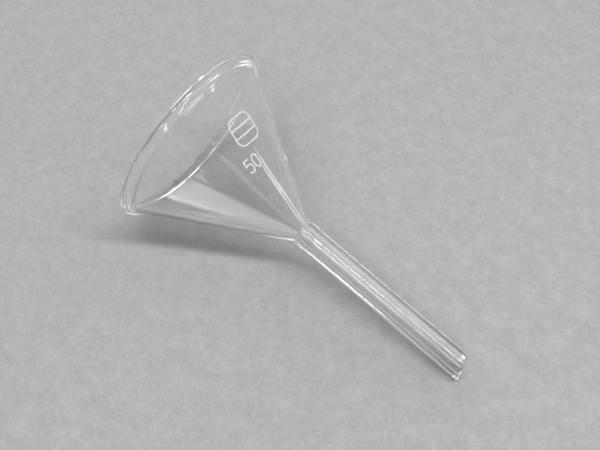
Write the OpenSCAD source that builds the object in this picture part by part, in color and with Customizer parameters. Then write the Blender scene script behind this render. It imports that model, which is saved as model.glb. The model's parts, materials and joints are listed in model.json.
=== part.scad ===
// Conical glass laboratory funnel, one piece of blown and drawn glass.
// A thin cone with a fire-polished rim runs into a straight tubular stem, whose tip is cut
// at a slant and melted round. The funnel lies on its side, on its rim and the end of its stem.
// The axis leans in the XZ plane: the mouth looks to -X and the stem points to +X.

/* [Cone] */
// Outside diameter over the rounded rim
rim_d = 50; // [36:1:75]
// Full angle of the cone, in degrees
cone_angle = 60; // [50:1:70]
// Thickness of the cone's wall
wall_t = 1.5; // [1:0.1:2]
// Thickness of the rounded rim
rim_t = 2.4; // [2.1:0.1:3.2]
// Radius of the blend between the rounded rim and the wall
rim_blend_r = 2; // [0.5:0.1:4]

/* [Stem] */
// Outside diameter of the stem
stem_d = 6.5; // [5.5:0.1:9]
// Diameter of the bore through the stem
bore_d = 3.5; // [2:0.1:4.5]
// Length of the stem on its axis, from the neck to the slanted end
stem_l = 50.8; // [30:0.1:120]
// Slant of the stem's end, in degrees from a square cut
tip_angle = 23; // [0:1:45]
// Roll of the lying funnel: the tip's longest side, in degrees from straight down
tip_turn = 75; // [-180:0.5:180]

/* [Neck] */
// Radius of the blend outside, where the cone meets the stem
neck_out_r = 1.5; // [0.5:0.1:5]
// Radius of the rounding inside, where the cone runs into the bore
neck_in_r = 3; // [1:0.1:6]
// Height of the soft swelling at the head of the stem, where the glass was joined
swell_h = 0.2; // [0.1:0.05:0.5]
// Length of that swelling along the stem
swell_l = 3.2; // [3:0.1:8]

/* [Hidden] */
$fn = 96;

// The section is drawn in (radius, height): the rim's centre ring lies at height 0,
// the mouth opens upwards and the stem runs down.
half_angle = cone_angle / 2;
bead_r = rim_t / 2;
ring_r = rim_d / 2 - bead_r;
stem_r = stem_d / 2;
bore_r = bore_d / 2;
half_wall = wall_t / 2;
// Where the outer and the inner cone lines meet the stem and the bore
neck_z = -(ring_r + half_wall / cos(half_angle) - stem_r) / tan(half_angle);
throat_z = -(ring_r - half_wall / cos(half_angle) - bore_r) / tan(half_angle);
// The blend circles stand this far down the wall, and meet the bead at this angle
blend_s = sqrt(pow(bead_r + rim_blend_r, 2) - pow(half_wall + rim_blend_r, 2));
blend_angle = atan2(half_wall + rim_blend_r, blend_s);

// The end of the stem is a round lip a little wider than the tube's wall
tip_z = neck_z - stem_l;
lip_ring_r = (stem_r + bore_r) / 2;
lip_r = 1.06 * (stem_r - bore_r) / 2;
lip_rise = sqrt(pow(lip_r, 2) - pow((stem_r - bore_r) / 2, 2));
slant = tan(tip_angle);

// Lean of the lying axis, from the rim's lowest point and the lowest point of the tip's edge
function tip_reach(t) = stem_r * norm([cos(t) * cos(tip_turn) + slant * sin(t), cos(t) * sin(tip_turn)]);
function lean(t, steps) = steps == 0 ? t
    : lean(acos((tip_reach(t) - bead_r) / norm([ring_r, tip_z])) - atan2(-tip_z, ring_r), steps - 1);
lie = lean(15, 6);
rim_centre_h = ring_r * cos(lie) + bead_r;

// Ends of the lying funnel along X, measured from the rim's centre
mouth_x = -ring_r * sin(lie) - bead_r;
tip_pull = [sin(lie) * cos(tip_turn) - slant * cos(lie), sin(lie) * sin(tip_turn)];
tip_x = -(tip_z + lip_rise) * cos(lie) + lip_ring_r * norm(tip_pull)
    + lip_r * norm([tip_pull[0], tip_pull[1], cos(lie)]);

// Points of an arc about a centre, at steps of about 6 degrees
function arc(centre, r, from, to) =
    let (steps = ceil(abs(to - from) / 6))
    [for (i = [0 : steps]) let (a = from + (to - from) * i / steps) centre + r * [cos(a), sin(a)]];

// A point of the wall: its distance down the wall from the rim's centre ring, and out of mid-wall
function on_wall(p) = [ring_r, 0]
    + p[0] * [-sin(half_angle), -cos(half_angle)]
    + p[1] * [cos(half_angle), -sin(half_angle)];

// Rounded rim with its blends, from the outside of the wall over the lip to the inside
rim_outline = concat(
    arc([blend_s, half_wall + rim_blend_r], rim_blend_r, -90, blend_angle - 180),
    arc([0, 0], bead_r, blend_angle, 360 - blend_angle),
    arc([blend_s, -half_wall - rim_blend_r], rim_blend_r, 180 - blend_angle, 90)
);

// Section of cone and stem, with a plain end that reaches past the slanted cut
module wall_section() {
    cut_z = tip_z - stem_r * slant - 1;
    neck_out = [stem_r + neck_out_r, neck_z - neck_out_r * tan(half_angle / 2)];
    neck_in = [bore_r + neck_in_r, throat_z - neck_in_r * tan(half_angle / 2)];
    polygon(concat(
        [for (p = rim_outline) on_wall(p)],
        arc(neck_in, neck_in_r, 180 - half_angle, 180),
        [[bore_r, cut_z], [stem_r, cut_z]],
        arc(neck_out, neck_out_r, 180, 180 - half_angle)
    ));
}

// Section of the swelling at the head of the stem, a flat bow on the stem's side
module swell_section() {
    bow_r = (pow(swell_l / 2, 2) + pow(swell_h, 2)) / (2 * swell_h);
    bow_angle = asin(swell_l / 2 / bow_r);
    root_r = (stem_r + bore_r) / 2;
    translate([0, neck_z - 0.55 * swell_l])
        polygon(concat(
            arc([stem_r + swell_h - bow_r, 0], bow_r, -bow_angle, bow_angle),
            [[root_r, swell_l / 2], [root_r, -swell_l / 2]]
        ));
}

// All that lies beyond the slanted, rounded end of the stem
module beyond_tip() {
    far_r = stem_r + 2;
    depth = 2 * stem_r * slant + 5;
    translate([0, 0, tip_z])
        multmatrix([[1, 0, 0, 0], [0, 1, 0, 0], [slant, 0, 1, 0]])
            rotate_extrude()
                polygon(concat(
                    [[0, -depth], [far_r, -depth], [far_r, lip_rise]],
                    arc([lip_ring_r, lip_rise], lip_r, 0, -180),
                    [[0, lip_rise]]
                ));
}

// The funnel with its axis upright and the longest side of its tip towards -X
module glass() {
    difference() {
        rotate_extrude() {
            wall_section();
            swell_section();
        }
        beyond_tip();
    }
}

module funnel() {
    color([0.86, 0.9, 0.89, 0.45])
        translate([-(mouth_x + tip_x) / 2, 0, rim_centre_h])
            rotate([0, lie - 90, 0])
                rotate([0, 0, tip_turn])
                    glass();
}

funnel();
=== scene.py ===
"""Looks of the lying glass funnel: its fine glass surface, enamel mark, grey paper and soft light."""
import json
import math

import bpy
from mathutils import Matrix, Vector


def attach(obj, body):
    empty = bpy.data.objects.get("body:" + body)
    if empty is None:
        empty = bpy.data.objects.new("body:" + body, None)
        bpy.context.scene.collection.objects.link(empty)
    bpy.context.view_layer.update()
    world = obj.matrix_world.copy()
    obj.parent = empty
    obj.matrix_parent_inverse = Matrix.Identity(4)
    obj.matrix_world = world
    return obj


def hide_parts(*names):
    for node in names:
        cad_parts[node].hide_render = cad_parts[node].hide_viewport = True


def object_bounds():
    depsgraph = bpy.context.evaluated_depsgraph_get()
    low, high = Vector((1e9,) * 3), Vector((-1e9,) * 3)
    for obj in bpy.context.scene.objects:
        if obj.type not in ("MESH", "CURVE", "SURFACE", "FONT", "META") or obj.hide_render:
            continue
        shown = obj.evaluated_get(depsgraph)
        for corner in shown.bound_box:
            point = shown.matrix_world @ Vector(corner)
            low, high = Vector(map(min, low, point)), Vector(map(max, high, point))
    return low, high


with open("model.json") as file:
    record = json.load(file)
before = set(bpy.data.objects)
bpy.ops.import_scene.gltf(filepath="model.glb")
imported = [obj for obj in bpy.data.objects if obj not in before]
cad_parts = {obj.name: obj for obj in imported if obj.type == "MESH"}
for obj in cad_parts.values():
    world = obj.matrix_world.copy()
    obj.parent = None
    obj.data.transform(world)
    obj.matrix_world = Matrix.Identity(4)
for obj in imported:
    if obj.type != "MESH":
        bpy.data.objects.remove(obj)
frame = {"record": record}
cad_low, cad_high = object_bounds()
mounts = {mount["name"]: mount for mount in frame["record"]["mounts"]}

MM = 0.001

# Driving sizes of the glass, the same as the CAD model's
STEM_R = mounts["stem_outside"]["dims"]["r_mm"] * MM
BORE_R = mounts["stem_bore"]["dims"]["r_mm"] * MM
RIM_R = 25 * MM
HALF_ANGLE = math.radians(30)
HALF_WALL = 0.75 * MM
BEAD_R = 1.2 * MM
RIM_BLEND_R = 2 * MM
STEM_L = 50.8 * MM
TIP_ANGLE = math.radians(23)
TIP_TURN = math.radians(75)
NECK_OUT_R = 1.5 * MM
NECK_IN_R = 3 * MM
SWELL_H = 0.2 * MM
SWELL_L = 3.2 * MM

# Worked out from them: the section stands in (radius, height), with the rim's centre ring at height 0
RING_R = RIM_R - BEAD_R
NECK_Z = -(RING_R + HALF_WALL / math.cos(HALF_ANGLE) - STEM_R) / math.tan(HALF_ANGLE)
THROAT_Z = -(RING_R - HALF_WALL / math.cos(HALF_ANGLE) - BORE_R) / math.tan(HALF_ANGLE)
SWELL_Z = NECK_Z - 0.55 * SWELL_L
TIP_Z = NECK_Z - STEM_L
SLANT = math.tan(TIP_ANGLE)

# The lying pose: the lean of the stem's axis, and the rim's centre above the floor
LEAN = math.asin(-mounts["stem_outside"]["axis"][2])
RIM_CENTRE = Vector((
    cad_low.x + RING_R * math.sin(LEAN) + BEAD_R,
    0,
    RING_R * math.cos(LEAN) + BEAD_R,
))
UPRIGHT_TO_LYING = Matrix.Translation(RIM_CENTRE) @ Matrix.Rotation(LEAN - math.pi / 2, 4, "Y")

# What hand-working did to the rim, shown here only: flare, lift, tilt at the upper side and sideways,
# unevenness out and along the axis, and the height below the rim's centre ring over which it fades
RIM_FLARE = 0.48 * MM
RIM_LIFT = 0.25 * MM
RIM_TILT = (-0.12 * MM, 0.63 * MM)
RIM_UNEVEN = (0.02 * MM, 0.03 * MM)
RIM_FADE = 2.1 * MM

# Radius of the melted tip over half the stem's wall, and the height over which the thick rim thins out
TIP_ROUNDING = 1.06
THICK_RIM_L = 3 * MM

# The enamel mark: thickness and width of its lines, their step, their section as shares of width and
# thickness, and places on the cone's outside as (distance down the wall, angle round the axis from the
# upper side)
ENAMEL_T = 0.03 * MM
LINE_W = 0.42 * MM
LINE_STEP = 0.06 * MM
LINE_SECTION = ((-0.5, -0.4), (-0.4, 0.75), (0, 1), (0.4, 0.75), (0.5, -0.4))
FIELD_PLACE = (14.0 * MM, math.radians(9.5))
FIELD_SIZE = 7.0 * MM
FIELD_CORNER = 1.9 * MM
RULE_UP = 0.16 * FIELD_SIZE
NUMBER_PLACE = (21.7 * MM, math.radians(-3.5))
NUMBER_SIZE = (1.8 * MM, 3.4 * MM)
NUMBER_GAP = 0.5 * MM
APEX_DOWN = (RING_R + HALF_WALL * math.cos(HALF_ANGLE)) / math.sin(HALF_ANGLE)

# The fleck of dirt: place on the rim (angle round the axis, angle round the bead) and half sizes
FLECK_PLACE = (math.radians(-171.3), math.radians(160))
FLECK_SIZE = (0.7 * MM, 0.22 * MM, 0.07 * MM)

# The paper
FLOOR_HALF = 0.7
FLOOR_Z = -0.1 * MM

# Fineness of the glass surface
SEGMENTS = 256
ARC_STEP = math.radians(3)
WALL_STEP = 0.2 * MM
WALL_STEPS = 15
NECK_STEPS = 60
SUPPORT = 0.15 * MM


def arc(centre, radius, start, end):
    """Points of an arc in the section, at even steps."""
    steps = max(2, math.ceil(abs(end - start) / ARC_STEP))
    angles = [start + (end - start) * i / steps for i in range(steps + 1)]
    return [(centre[0] + radius * math.cos(a), centre[1] + radius * math.sin(a)) for a in angles]


def on_wall(down, out):
    """Section point at a distance down the wall from the rim's centre ring and out of mid-wall."""
    return (
        RING_R - down * math.sin(HALF_ANGLE) + out * math.cos(HALF_ANGLE),
        -down * math.cos(HALF_ANGLE) - out * math.sin(HALF_ANGLE),
    )


def rim_points():
    """The rounded rim with its blends, from the outside of the wall over the lip to the inside."""
    reach = HALF_WALL + RIM_BLEND_R
    blend_down = math.sqrt((BEAD_R + RIM_BLEND_R) ** 2 - reach ** 2)
    meet = math.atan2(reach, blend_down)
    outer = arc((blend_down, reach), RIM_BLEND_R, -math.pi / 2, meet - math.pi)
    bead = arc((0, 0), BEAD_R, meet, 2 * math.pi - meet)
    inner = arc((blend_down, -reach), RIM_BLEND_R, math.pi - meet, math.pi / 2)
    wall_run = [blend_down + WALL_STEP * step for step in range(1, WALL_STEPS + 1)]
    below_outside = [(down, HALF_WALL) for down in reversed(wall_run)]
    below_inside = [(down, -HALF_WALL) for down in wall_run]
    return [on_wall(*p) for p in below_outside + outer + bead[1:-1] + inner + below_inside]


def outer_neck_points():
    """Outside of the head of the stem, from below the swelling up to the cone."""
    arc_z = NECK_Z - NECK_OUT_R * math.tan(HALF_ANGLE / 2)
    top_z = arc_z + NECK_OUT_R * math.sin(HALF_ANGLE)
    bottom_z = SWELL_Z - 0.7 * SWELL_L
    bow_r = ((SWELL_L / 2) ** 2 + SWELL_H ** 2) / (2 * SWELL_H)
    soft = 0.02 * MM

    def radius(z):
        rise = max(0, z - arc_z)
        flare = NECK_OUT_R - math.sqrt(NECK_OUT_R ** 2 - rise ** 2)
        off = min(abs(z - SWELL_Z), bow_r)
        bow = SWELL_H - bow_r + math.sqrt(bow_r ** 2 - off ** 2)
        return STEM_R + (flare + bow + math.sqrt((flare - bow) ** 2 + soft ** 2)) / 2

    heights = [bottom_z + (top_z - bottom_z) * i / NECK_STEPS for i in range(NECK_STEPS + 1)]
    return [(radius(z), z) for z in heights]


def inner_neck_points():
    """Inside of the cone where it runs into the bore."""
    centre = (BORE_R + NECK_IN_R, THROAT_Z - NECK_IN_R * math.tan(HALF_ANGLE / 2))
    return arc(centre, NECK_IN_R, math.pi - HALF_ANGLE, math.pi)


def lip_points():
    """The melted end of the stem, from the bore round to the outside."""
    half = (STEM_R - BORE_R) / 2
    lip_r = TIP_ROUNDING * half
    edge = math.acos(half / lip_r)
    centre = ((STEM_R + BORE_R) / 2, TIP_Z + math.sqrt(lip_r ** 2 - half ** 2))
    return arc(centre, lip_r, edge - math.pi, -edge)


def funnel_rings():
    """All rings of the glass as (radius, height, share of the tip's slant), one closed loop."""
    rim = rim_points()
    inner_neck = inner_neck_points()
    neck = outer_neck_points()
    lip = lip_points()
    slope = (math.sin(HALF_ANGLE) * SUPPORT, math.cos(HALF_ANGLE) * SUPPORT)
    rings = [(r, z, 0) for r, z in rim]
    rings += [(inner_neck[0][0] + slope[0], inner_neck[0][1] + slope[1], 0)]
    rings += [(r, z, 0) for r, z in inner_neck]
    rings += [(BORE_R, inner_neck[-1][1] - SUPPORT, 0)]
    rings += [(BORE_R, TIP_Z + 2 * SUPPORT, 1), (BORE_R, TIP_Z + SUPPORT / 3, 1)]
    rings += [(r, z, 1) for r, z in lip]
    rings += [(STEM_R, TIP_Z + SUPPORT / 3, 1), (STEM_R, TIP_Z + 2 * SUPPORT, 1)]
    rings += [(STEM_R, neck[0][1] - SUPPORT, 0)]
    rings += [(r, z, 0) for r, z in neck]
    rings += [(neck[-1][0] + slope[0], neck[-1][1] + slope[1], 0)]
    return rings


def rim_wander(radius, height, turn):
    """The hand-worked rim: tilted, flared except on its floor side, and uneven, fading down the wall."""
    depth = min(1, max(0, -height / RIM_FADE))
    share = (1 - depth) ** 2 * (1 + 2 * depth)
    lying = turn + TIP_TURN
    floor_side = ((1 - math.cos(lying)) / 2) ** 3
    out = RIM_FLARE * (1 - floor_side) + RIM_UNEVEN[0] * math.sin(3 * turn + 2.1)
    tilt = RIM_TILT[0] * math.cos(lying) + RIM_TILT[1] * math.sin(lying)
    up = RIM_LIFT + tilt + RIM_UNEVEN[1] * math.sin(4 * turn + 0.3)
    return radius + out * share, height + up * share


def deflection(height):
    """How much light the glass throws aside at a height: most at the rim and the stem."""
    if height < NECK_Z:
        return 1
    return max(0, 1 + height / THICK_RIM_L)


def add_piece(name, points, faces, material, place=Matrix()):
    """Smooth mesh object, moved into place."""
    mesh = bpy.data.meshes.new(name)
    mesh.from_pydata(points, [], faces)
    mesh.polygons.foreach_set("use_smooth", [True] * len(faces))
    mesh.transform(place)
    mesh.materials.append(material)
    piece = bpy.data.objects.new(name, mesh)
    bpy.context.scene.collection.objects.link(piece)
    return piece


def add_node(nodes, kind, values):
    """Shader node of a kind, with constants on its own sockets."""
    node = nodes.new("ShaderNode" + kind)
    for socket, value in values.items():
        node.inputs[socket].default_value = value
    return node


def add_noise(tree, place, values):
    """Noise in the object's own coordinates."""
    noise = add_node(tree.nodes, "TexNoise", values)
    tree.links.new(place.outputs["Object"], noise.inputs["Vector"])
    return noise.outputs["Fac"]


def add_bump(tree, height, shader, strength, distance):
    """Fine relief on a shader, from a height."""
    bump = add_node(tree.nodes, "Bump", {"Strength": strength, "Distance": distance})
    tree.links.new(height, bump.inputs["Height"])
    tree.links.new(bump.outputs["Normal"], shader.inputs["Normal"])


def add_range(tree, value, from_min, from_max, to_min, to_max, interpolation="LINEAR"):
    """A value mapped from one range to another, and held at its ends."""
    node = add_node(tree.nodes, "MapRange", {
        "From Min": from_min, "From Max": from_max, "To Min": to_min, "To Max": to_max,
    })
    node.interpolation_type = interpolation
    tree.links.new(value, node.inputs["Value"])
    return node.outputs["Result"]


def add_ramp(tree, value, dark, pale):
    """Colour of a value between two stops, each a (position, colour)."""
    ramp = tree.nodes.new("ShaderNodeValToRGB")
    for stop, (position, colour) in zip(ramp.color_ramp.elements, (dark, pale)):
        stop.position = position
        stop.color = (*colour, 1)
    tree.links.new(value, ramp.inputs["Fac"])
    return ramp.outputs["Color"]


def add_math(tree, operation, *sources):
    """Maths on other nodes' outputs."""
    node = tree.nodes.new("ShaderNodeMath")
    node.operation = operation
    for source, socket in zip(sources, node.inputs):
        tree.links.new(source, socket)
    return node


def add_mix(tree, share, first, second, output):
    """Two shaders mixed by a share of the second, into the output."""
    mix = tree.nodes.new("ShaderNodeMixShader")
    tree.links.new(share, mix.inputs["Fac"])
    tree.links.new(first, mix.inputs[1])
    tree.links.new(second, mix.inputs[2])
    tree.links.new(mix.outputs["Shader"], output.inputs["Surface"])


def new_material(name, values):
    """Material with an output, a principled shader with given constants, and the object's coordinates."""
    material = bpy.data.materials.new(name)
    material.use_nodes = True
    tree = material.node_tree
    tree.nodes.clear()
    output = tree.nodes.new("ShaderNodeOutputMaterial")
    shader = add_node(tree.nodes, "BsdfPrincipled", values)
    tree.links.new(shader.outputs["BSDF"], output.inputs["Surface"])
    return material, tree, output, shader, tree.nodes.new("ShaderNodeTexCoord")


def glass_material():
    """Clear glass, faintly wavy. Lamp light passes through, less at edges and in the rim and the stem."""
    material, tree, output, glass, place = new_material("clear_glass", {
        "Base Color": (1.0, 1.0, 0.995, 1), "Transmission Weight": 1, "IOR": 1.47,
    })
    waves = add_noise(tree, place, {"Scale": 45, "Detail": 0})
    add_bump(tree, waves, glass, 0.006, 0.2 * MM)
    haze = add_noise(tree, place, {"Scale": 260, "Detail": 4})
    tree.links.new(add_range(tree, haze, 0.45, 0.8, 0.0, 0.003), glass.inputs["Roughness"])

    through = tree.nodes.new("ShaderNodeBsdfTransparent")
    facing = add_node(tree.nodes, "LayerWeight", {"Blend": 0.5})
    shade = add_range(tree, facing.outputs["Facing"], 0.1, 0.9, 0.955, 0.2)
    thick = tree.nodes.new("ShaderNodeAttribute")
    thick.attribute_name = "deflects"
    dim = add_range(tree, thick.outputs["Fac"], 0, 1, 1, 0.78)
    passed = add_math(tree, "MULTIPLY", shade, dim)
    tree.links.new(passed.outputs[0], through.inputs["Color"])

    path = tree.nodes.new("ShaderNodeLightPath")
    to_paper = add_math(tree, "MAXIMUM", path.outputs["Is Shadow Ray"], path.outputs["Is Diffuse Ray"])
    add_mix(tree, to_paper.outputs[0], glass.outputs["BSDF"], through.outputs["BSDF"], output)
    return material


def make_funnel():
    """The glass: rings turned about the upright axis, the tip's longest side towards -X, then laid down."""
    rings = funnel_rings()
    points = []
    for radius, height, slant_share in rings:
        for i in range(SEGMENTS):
            turn = 2 * math.pi * i / SEGMENTS
            r, z = rim_wander(radius, height, turn)
            x = r * math.cos(turn)
            points.append((x, r * math.sin(turn), z + slant_share * SLANT * x))
    faces = []
    for ring in range(len(rings)):
        here, there = ring * SEGMENTS, (ring + 1) % len(rings) * SEGMENTS
        for i in range(SEGMENTS):
            j = (i + 1) % SEGMENTS
            faces.append((here + i, here + j, there + j, there + i))
    place = UPRIGHT_TO_LYING @ Matrix.Rotation(TIP_TURN, 4, "Z")
    funnel = add_piece("funnel_glass", points, faces, glass_material(), place)
    deflects = funnel.data.attributes.new("deflects", "FLOAT", "POINT")
    deflects.data.foreach_set("value", [deflection(z) for _, z, _ in rings for _ in range(SEGMENTS)])
    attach(funnel, "root")
    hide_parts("funnel")


def enamel_material():
    """White fired enamel, slightly uneven in tone and surface."""
    material, tree, _, enamel, place = new_material("white_enamel", {})
    patches = add_noise(tree, place, {"Scale": 1800, "Detail": 4})
    tone = add_ramp(tree, patches, (0.3, (0.66, 0.67, 0.67)), (0.65, (0.82, 0.83, 0.83)))
    tree.links.new(tone, enamel.inputs["Base Color"])
    tree.links.new(add_range(tree, patches, 0, 1, 0.4, 0.7), enamel.inputs["Roughness"])
    add_bump(tree, patches, enamel, 0.3, 0.03 * MM)
    return material


def on_cone(place, across, up, out):
    """Point at flat coordinates about a place on the cone: across is round it, up is towards the rim."""
    reach = APEX_DOWN - place[0] + up
    turn = place[1] + math.atan2(across, reach) / math.sin(HALF_ANGLE)
    r, z = on_wall(APEX_DOWN - math.hypot(reach, across), HALF_WALL + out)
    return r * math.cos(turn), r * math.sin(turn), z


def even_steps(points, step):
    """The same line with points at even distances."""
    line = [Vector(p) for p in points]
    marks = [0]
    for a, b in zip(line, line[1:]):
        marks.append(marks[-1] + (b - a).length)
    count = max(2, round(marks[-1] / step))
    result, k = [], 0
    for i in range(count + 1):
        s = marks[-1] * i / count
        while k < len(marks) - 2 and marks[k + 1] < s:
            k += 1
        result.append(line[k].lerp(line[k + 1], (s - marks[k]) / (marks[k + 1] - marks[k])))
    return result


def enamel_line(points, closed, place, mesh_points, mesh_faces):
    """Adds one line, slightly uneven and with soft shoulders, fused to the glass. Open ends are round."""
    line = even_steps(points, LINE_STEP)
    if closed:
        line = line[:-1]
    count = len(line)
    first = len(mesh_points)
    for i, p in enumerate(line):
        before = line[i - 1] if closed or i > 0 else p
        after = line[(i + 1) % count] if closed or i < count - 1 else p
        along = (after - before).normalized()
        side = Vector((-along.y, along.x))
        width = LINE_W * (1 + 0.08 * math.sin(i * 0.9 + count) + 0.06 * math.sin(i * 2.3))
        if not closed:
            from_end = min((min(i, count - 1 - i) + 0.3) * LINE_STEP / (LINE_W / 2), 1)
            width *= math.sqrt(from_end * (2 - from_end))
        for off, height in LINE_SECTION:
            flat = p + side * off * width
            mesh_points.append(on_cone(place, flat.x, flat.y, height * ENAMEL_T))
    size = len(LINE_SECTION)
    for i in range(count if closed else count - 1):
        here, there = first + i * size, first + (i + 1) % count * size
        for k in range(size):
            j = (k + 1) % size
            mesh_faces.append((here + k, there + k, there + j, here + j))
    if not closed:
        mesh_faces.append(tuple(first + k for k in range(size)))
        mesh_faces.append(tuple(first + (count - 1) * size + k for k in reversed(range(size))))


def rounded_square(size, corner):
    """Closed outline of a square with round corners."""
    half = size / 2 - corner
    centres = ((half, half, 0), (-half, half, 90), (-half, -half, 180), (half, -half, 270))
    points = []
    for x, y, start in centres:
        points += arc((x, y), corner, math.radians(start), math.radians(start + 90))
    return points + points[:1]


def number_lines():
    """The digits 5 and 0 as lines in flat coordinates, each with whether it is closed."""
    width, height = NUMBER_SIZE
    five = [
        (0.95, 1), (0.16, 1), (0.08, 0.56), (0.25, 0.625), (0.48, 0.65), (0.72, 0.61), (0.9, 0.5),
        (0.97, 0.35), (0.93, 0.18), (0.76, 0.05), (0.5, 0), (0.25, 0.03), (0.04, 0.14),
    ]
    angles = [math.tau * i / 48 for i in range(49)]
    ring = [(0.5 + 0.46 * math.cos(a), 0.5 + 0.5 * math.sin(a)) for a in angles]

    def placed(points, left):
        return [(left + x * width, (y - 0.5) * height) for x, y in points]

    return (placed(five, -width - NUMBER_GAP / 2), False), (placed(ring, NUMBER_GAP / 2), True)


def make_mark():
    """The enamel mark: a rounded field with two ruled lines to write on, and a plain number."""
    points, faces = [], []
    rule = FIELD_SIZE / 2
    enamel_line(rounded_square(FIELD_SIZE, FIELD_CORNER), True, FIELD_PLACE, points, faces)
    for up in (RULE_UP, -RULE_UP):
        enamel_line([(-rule, up), (rule, up)], False, FIELD_PLACE, points, faces)
    for line, closed in number_lines():
        enamel_line(line, closed, NUMBER_PLACE, points, faces)
    mark = add_piece("enamel_mark", points, faces, enamel_material(), UPRIGHT_TO_LYING)
    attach(mark, "root")


def dirt_material():
    """Dried brown dirt, blotchy and dull."""
    material, tree, _, dirt, place = new_material("dried_dirt", {"Roughness": 0.8})
    blotches = add_noise(tree, place, {"Scale": 5000})
    tone = add_ramp(tree, blotches, (0, (0.05, 0.04, 0.03)), (1, (0.16, 0.14, 0.11)))
    tree.links.new(tone, dirt.inputs["Base Color"])
    add_bump(tree, blotches, dirt, 0.6, 0.05 * MM)
    return material


def make_fleck():
    """A fleck of dirt across the inside of the rim's bead, near the floor."""
    turn, tilt = FLECK_PLACE
    length, width, height = FLECK_SIZE
    rings, sides = 5, 20

    def on_bead(along, aside, out):
        angle = tilt + along / BEAD_R
        r, z = RING_R + (BEAD_R + out) * math.cos(angle), (BEAD_R + out) * math.sin(angle)
        t = turn + aside / RING_R
        r, z = rim_wander(r, z, t - TIP_TURN)
        return r * math.cos(t), r * math.sin(t), z

    points = [on_bead(0, 0, height)]
    for ring in range(1, rings + 1):
        share = ring / rings
        rise = height * math.sqrt(1 - share ** 2) if ring < rings else -0.3 * height
        for i in range(sides):
            a = math.tau * i / sides
            along = length * share * math.cos(a) * (1 + 0.2 * math.sin(3 * a + 1))
            aside = width * share * math.sin(a) * (1 + 0.35 * math.sin(2 * a) + 0.2 * math.sin(5 * a))
            points.append(on_bead(along, aside, rise * (1 + 0.3 * math.sin(4 * a + ring))))
    faces = [(0, 1 + i, 1 + (i + 1) % sides) for i in range(sides)]
    for ring in range(rings - 1):
        here, there = 1 + ring * sides, 1 + (ring + 1) * sides
        for i in range(sides):
            j = (i + 1) % sides
            faces.append((here + i, there + i, there + j, here + j))
    faces.append(tuple(1 + (rings - 1) * sides + i for i in reversed(range(sides))))
    fleck = add_piece("dirt_fleck", points, faces, dirt_material(), UPRIGHT_TO_LYING)
    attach(fleck, "root")


def paper_material():
    """Grey background paper with a faint cloudiness and fine grain."""
    material, tree, _, paper, place = new_material("grey_paper", {
        "Roughness": 0.7, "Specular IOR Level": 0.35,
    })
    clouds = add_noise(tree, place, {"Scale": 190, "Detail": 7, "Roughness": 1.0})
    tone = add_ramp(tree, clouds, (0.3, (0.333, 0.337, 0.338)), (0.7, (0.509, 0.515, 0.517)))
    tree.links.new(tone, paper.inputs["Base Color"])
    grain = add_noise(tree, place, {"Scale": 900, "Detail": 3})
    add_bump(tree, grain, paper, 0.15, 0.2 * MM)
    return material


def make_floor():
    """Plain sheet of paper, just below the glass."""
    corners = [
        (-FLOOR_HALF, -FLOOR_HALF, FLOOR_Z), (FLOOR_HALF, -FLOOR_HALF, FLOOR_Z),
        (FLOOR_HALF, FLOOR_HALF, FLOOR_Z), (-FLOOR_HALF, FLOOR_HALF, FLOOR_Z),
    ]
    floor = add_piece("paper_floor", corners, [(0, 1, 2, 3)], paper_material())


def direction(azimuth, elevation):
    """Direction from the object at an azimuth from +X towards +Y and an elevation, in degrees."""
    a, e = math.radians(azimuth), math.radians(elevation)
    return Vector((math.cos(a) * math.cos(e), math.sin(a) * math.cos(e), math.sin(e)))


def area_light(name, towards, distance, size, radiance, colour, along):
    """Rectangular lamp that faces the object from a direction, its first side along a given direction."""
    data = bpy.data.lights.new(name, "AREA")
    data.shape = "RECTANGLE"
    data.size, data.size_y = size
    data.energy = radiance * math.pi * size[0] * size[1]
    data.color = colour
    back = direction(*towards)
    side = (Vector(along) - back * back.dot(Vector(along))).normalized()
    turned = Matrix((side, back.cross(side), back)).transposed().to_4x4()
    lamp = bpy.data.objects.new(name, data)
    lamp.matrix_world = Matrix.Translation(back * distance) @ turned
    bpy.context.scene.collection.objects.link(lamp)


def make_lights():
    """A ceiling panel and a back lamp, which throw most of the shadows, and a room's window and walls."""
    warm, white = (1.0, 0.99, 0.96), (1.0, 0.99, 0.97)
    bluish, cool = (0.87, 0.86, 1.0), (0.97, 1.0, 1.0)
    for lamp in (
        # name, azimuth and elevation, distance, sides, radiance, colour, direction of the first side
        ("ceiling_panel", (3, 78), 0.9, (0.9, 0.055), 36, warm, (0.82, 0.57, 0)),
        ("back_lamp", (-77, 55), 1.0, (0.64, 0.1), 12, white, (1, 0, 0)),
        ("window", (40, 17), 1.0, (0.09, 0.2), 10, bluish, (-0.64, 0.77, 0)),
        ("pale_wall", (142, 18), 1.0, (0.5, 0.7), 2.25, cool, (0.62, 0.79, 0)),
        ("low_wall", (174, 6), 1.0, (0.56, 0.16), 4, warm, (0.1, 0.99, 0)),
        ("side_wall", (15, 10), 1.0, (0.45, 0.18), 4.5, white, (-0.26, 0.97, 0)),
        ("far_wall", (166, 25), 1.0, (0.16, 0.16), 1.6, warm, (0.24, 0.97, 0)),
        ("left_wall", (-168, 30), 1.0, (0.09, 0.18), 0.9, warm, (-0.2, 0.98, 0)),
        ("right_wall", (86, 12), 1.0, (0.24, 0.28), 0.4, warm, (1, 0, 0)),
        ("upper_wall", (74, 45), 1.0, (0.28, 0.6), 1.6, white, (1, 0, 0)),
    ):
        area_light(*lamp)


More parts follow.
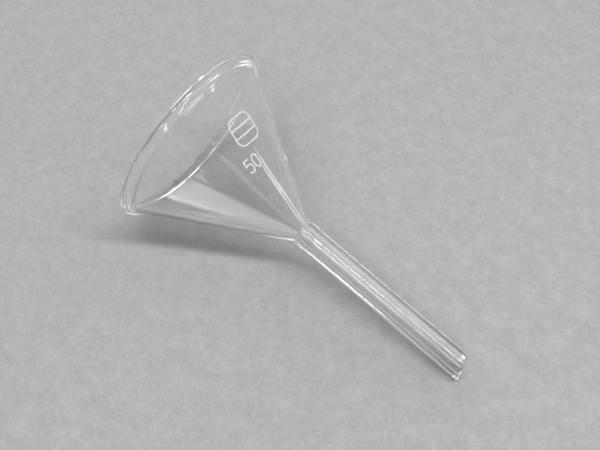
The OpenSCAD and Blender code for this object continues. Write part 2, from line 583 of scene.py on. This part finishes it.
def make_world():
    """Even room light with pale walls low on the far side. The glass shows the room brighter than it lights
    the paper, and behind the paper it is plain grey."""
    world = bpy.data.worlds.new("room")
    world.use_nodes = True
    tree = world.node_tree
    tree.nodes.clear()
    output = tree.nodes.new("ShaderNodeOutputWorld")
    room = add_node(tree.nodes, "Background", {"Color": (1.0, 0.99, 0.97, 1)})
    backdrop = add_node(tree.nodes, "Background", {"Color": (0.45, 0.455, 0.45, 1)})

    place = tree.nodes.new("ShaderNodeTexCoord")
    axes = tree.nodes.new("ShaderNodeSeparateXYZ")
    tree.links.new(place.outputs["Generated"], axes.inputs["Vector"])
    low = add_range(tree, axes.outputs["Z"], 0.14, 0.0, 0, 1, "SMOOTHSTEP")
    towards_far = tree.nodes.new("ShaderNodeVectorMath")
    towards_far.operation = "DOT_PRODUCT"
    towards_far.inputs[1].default_value = direction(150, 0)
    tree.links.new(place.outputs["Generated"], towards_far.inputs[0])
    far = add_range(tree, towards_far.outputs["Value"], 0.5, 0.8, 0, 1, "SMOOTHSTEP")
    wall = add_math(tree, "MULTIPLY", low, far)
    level = add_range(tree, wall.outputs[0], 0, 1, 0.13, 1.2)

    path = tree.nodes.new("ShaderNodeLightPath")
    in_glass = add_math(tree, "MAXIMUM", path.outputs["Is Glossy Ray"], path.outputs["Is Transmission Ray"])
    brighter = add_math(tree, "MULTIPLY_ADD", in_glass.outputs[0])
    brighter.inputs[1].default_value = 0.36
    tree.links.new(level, brighter.inputs[2])
    tree.links.new(brighter.outputs[0], room.inputs["Strength"])
    camera_ray = path.outputs["Is Camera Ray"]
    add_mix(tree, camera_ray, room.outputs["Background"], backdrop.outputs["Background"], output)
    bpy.context.scene.world = world


def make_camera():
    """Camera at the photograph's viewing angle."""
    target = Vector((RIM_CENTRE.x + 28.69 * MM, 8.52 * MM, 0))
    azimuth, elevation, distance = math.radians(-38.72), math.radians(58.47), 231.5 * MM
    forward = Vector((
        math.sin(azimuth) * math.cos(elevation),
        math.cos(azimuth) * math.cos(elevation),
        -math.sin(elevation),
    ))
    data = bpy.data.cameras.new("camera")
    data.sensor_width = 36
    data.lens = 51
    data.clip_start = 0.01
    camera = bpy.data.objects.new("camera", data)
    camera.location = target - forward * distance
    camera.rotation_euler = forward.to_track_quat("-Z", "Y").to_euler()
    bpy.context.scene.collection.objects.link(camera)
    bpy.context.scene.camera = camera


make_funnel()
make_mark()
make_fleck()
make_floor()
make_lights()
make_world()
make_camera()
bpy.context.scene.view_settings.view_transform = "Standard"
bpy.context.scene.cycles.max_bounces = 64
bpy.context.scene.cycles.transmission_bounces = 64
bpy.context.scene.cycles.glossy_bounces = 64
bpy.context.scene.cycles.transparent_max_bounces = 32
